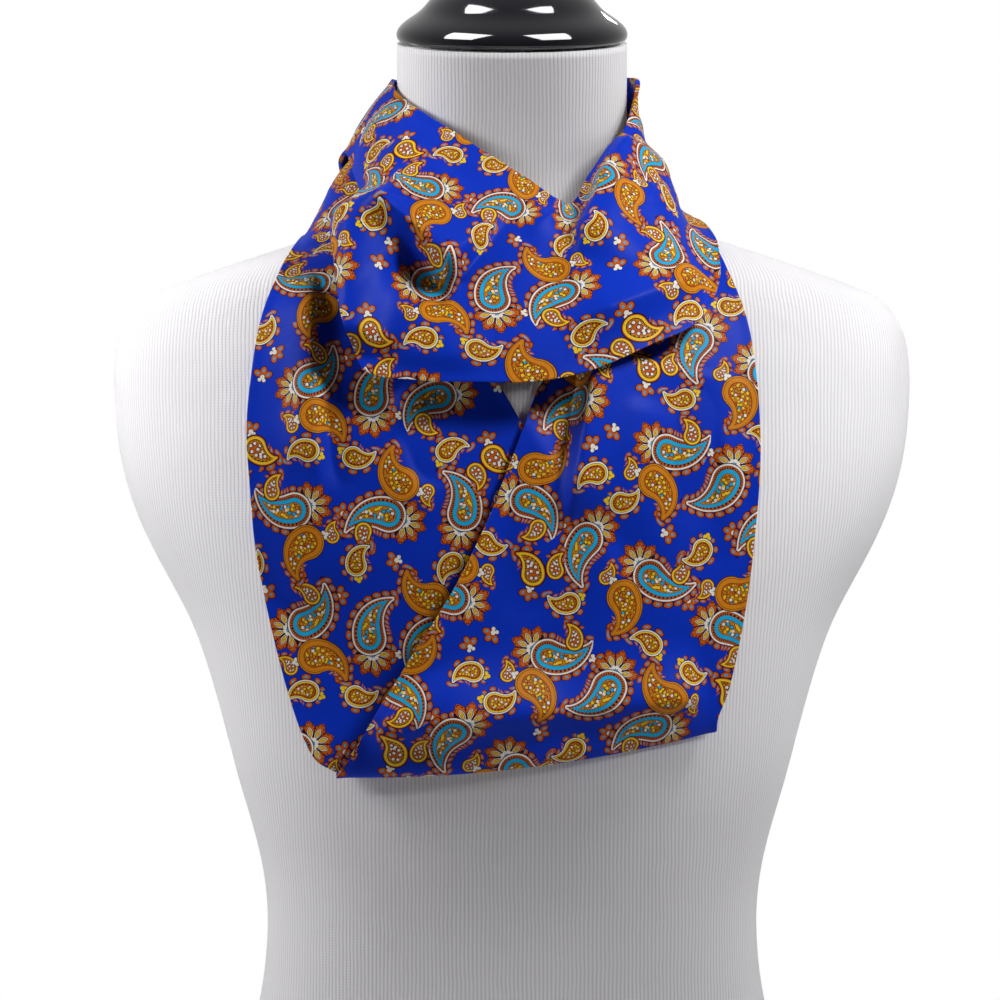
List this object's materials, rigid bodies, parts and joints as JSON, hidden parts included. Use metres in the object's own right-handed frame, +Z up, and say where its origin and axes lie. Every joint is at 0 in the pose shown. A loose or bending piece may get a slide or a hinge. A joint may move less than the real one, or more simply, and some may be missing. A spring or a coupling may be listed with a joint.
{
  "type": "infinity scarf on a limbless dress form",
  "caption": "Wide printed satin infinity scarf worn doubled: a draped cowl over a long crossed lower loop, on a limbless jersey-covered torso dress form with a turned black neck cap.",
  "frame": {"origin": "centre of the part's box, at the flat foot of the dress form", "axes": "+Z up through the neck, -Y to the front of the chest, +X to the right as the front is looked at"},
  "size_m": [0.456, 0.2566, 0.7507],
  "materials": {
    "scarf_satin": "royal blue satin with a soft sheen, printed with gold, rust and turquoise paisleys",
    "form_jersey": "off-white rib-knit jersey with fine upright ribs, matt",
    "cap_lacquer": "turned wood in high gloss black lacquer"
  },
  "bodies": {
    "root": {"form_torso": "form_jersey", "neck_cap": "cap_lacquer", "scarf_lower_left": "scarf_satin", "scarf_lower_right": "scarf_satin", "scarf_lower_back": "scarf_satin", "scarf_upper_front": "scarf_satin", "scarf_upper_back": "scarf_satin"}
  },
  "joints": []
}
